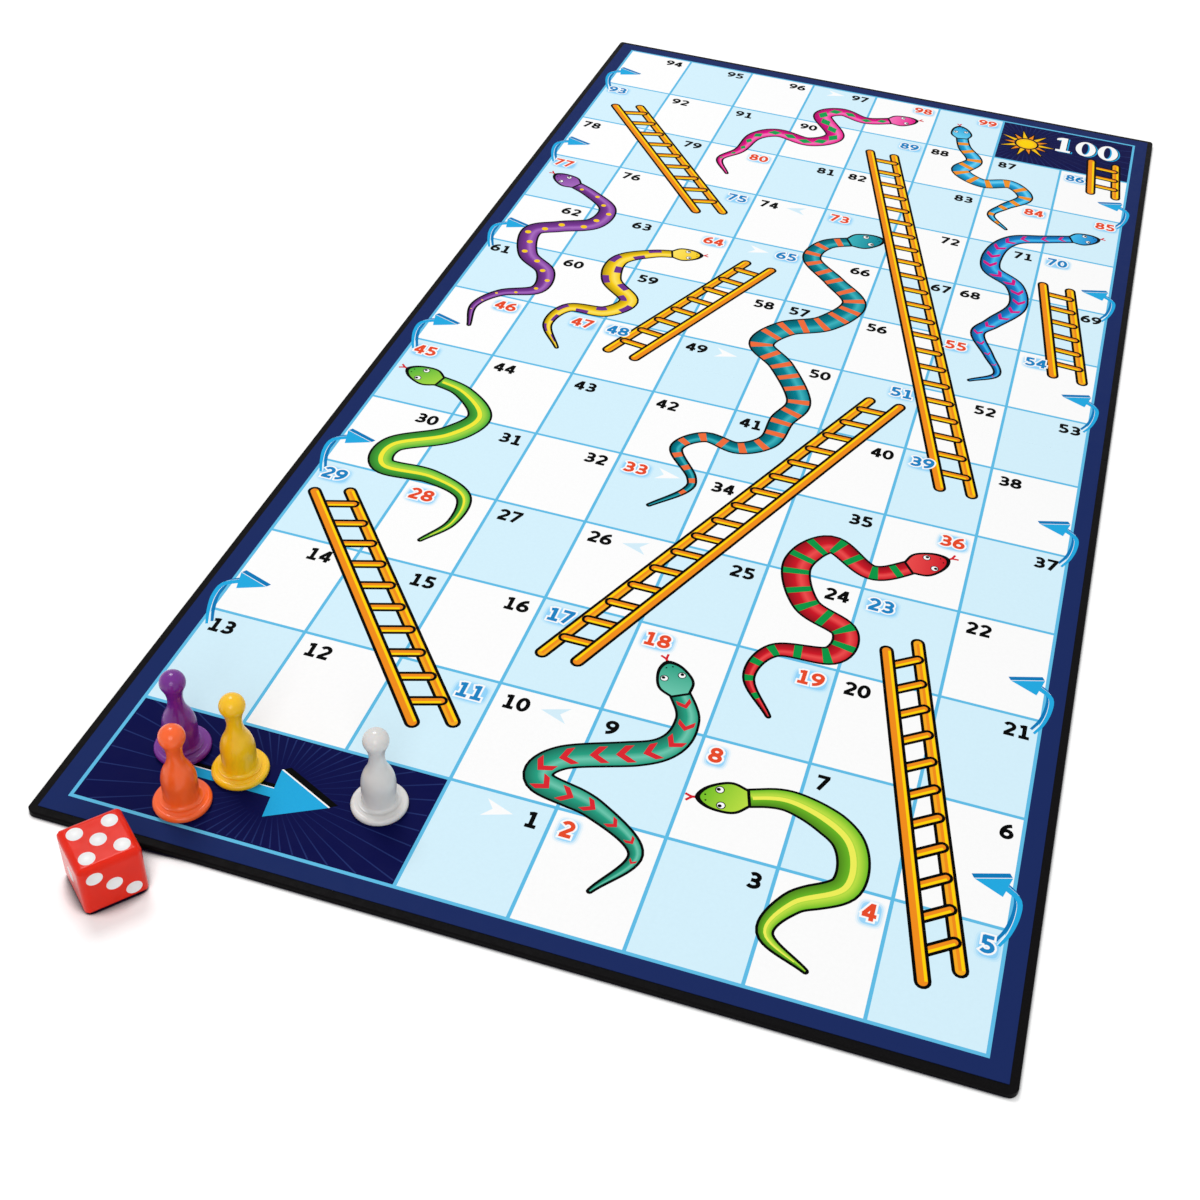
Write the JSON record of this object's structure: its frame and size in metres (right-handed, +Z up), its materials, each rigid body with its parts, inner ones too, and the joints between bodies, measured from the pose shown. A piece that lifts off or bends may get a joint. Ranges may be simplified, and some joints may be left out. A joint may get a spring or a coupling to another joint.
{
  "type": "snakes and ladders board",
  "caption": "Folding snakes and ladders board of wrapped greyboard with a printed face, with upright plastic pawns on its start and a red die beside it.",
  "frame": {"origin": "On the table, under the middle of the fold of the open board.", "axes": "+X runs across the board to the right, +Y from the player's edge to the far edge, +Z up out of the printed face."},
  "size_m": [0.254, 0.5303, 0.03],
  "materials": {
    "greyboard": "raw grey pulp board",
    "wrap_paper": "black satin paper",
    "printed_paper": "printed paper with a satin varnish",
    "purple_plastic": "glossy moulded plastic",
    "orange_plastic": "glossy moulded plastic",
    "yellow_plastic": "glossy moulded plastic",
    "white_plastic": "glossy moulded plastic",
    "red_plastic": "glossy moulded plastic with white pips"
  },
  "bodies": {
    "near_half": {"near_core_board": "greyboard", "near_wrap": "wrap_paper", "near_face_sheet": "printed_paper"},
    "far_half": {"far_core_board": "greyboard", "far_wrap": "wrap_paper", "far_face_sheet": "printed_paper"},
    "purple_pawn": {"pawn_purple": "purple_plastic"},
    "orange_pawn": {"pawn_orange": "orange_plastic"},
    "yellow_pawn": {"pawn_yellow": "yellow_plastic"},
    "white_pawn": {"pawn_white": "white_plastic"},
    "red_die": {"die": "red_plastic"}
  },
  "joints": [
    {"name": "fold", "type": "hinge", "parent": "near_half", "child": "far_half", "pos_m": [0, 0, 0.002], "axis": [1, 0, 0], "range_deg": [0, 160]},
    {"name": "purple_pawn_lift", "type": "slide", "parent": "near_half", "child": "purple_pawn", "axis": [0, 0, 1], "range_m": [0, 0.04]},
    {"name": "orange_pawn_lift", "type": "slide", "parent": "near_half", "child": "orange_pawn", "axis": [0, 0, 1], "range_m": [0, 0.04]},
    {"name": "yellow_pawn_lift", "type": "slide", "parent": "near_half", "child": "yellow_pawn", "axis": [0, 0, 1], "range_m": [0, 0.04]},
    {"name": "white_pawn_lift", "type": "slide", "parent": "near_half", "child": "white_pawn", "axis": [0, 0, 1], "range_m": [0, 0.04]},
    {"name": "die_lift", "type": "slide", "parent": "near_half", "child": "red_die", "axis": [0, 0, 1], "range_m": [0, 0.04]}
  ]
}
